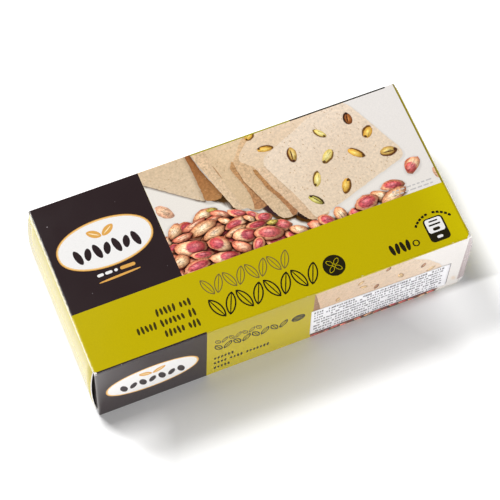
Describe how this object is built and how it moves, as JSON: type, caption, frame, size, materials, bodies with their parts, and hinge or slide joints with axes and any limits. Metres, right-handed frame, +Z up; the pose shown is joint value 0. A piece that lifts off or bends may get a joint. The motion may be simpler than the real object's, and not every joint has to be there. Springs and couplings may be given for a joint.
{
  "type": "halva carton",
  "caption": "Closed folding carton of pistachio halva: a flat printed board box glued shut at both ends, with a paper slip pasted on its front.",
  "frame": {"origin": "centre of the underside of the box that the whole part fills", "axes": "+X along the carton, to the right as seen from its front; +Z up, through the top panel; the front panel faces -Y"},
  "size_m": [0.1546, 0.0716, 0.0421],
  "materials": {
    "printed_board": "varnished white-lined board, printed in yellow-green, brown-black and pale grey fields",
    "slip_paper": "matt white paper with fine dark print"
  },
  "bodies": {
    "root": {"carton": "printed_board", "paper_slip": "slip_paper"}
  },
  "joints": []
}
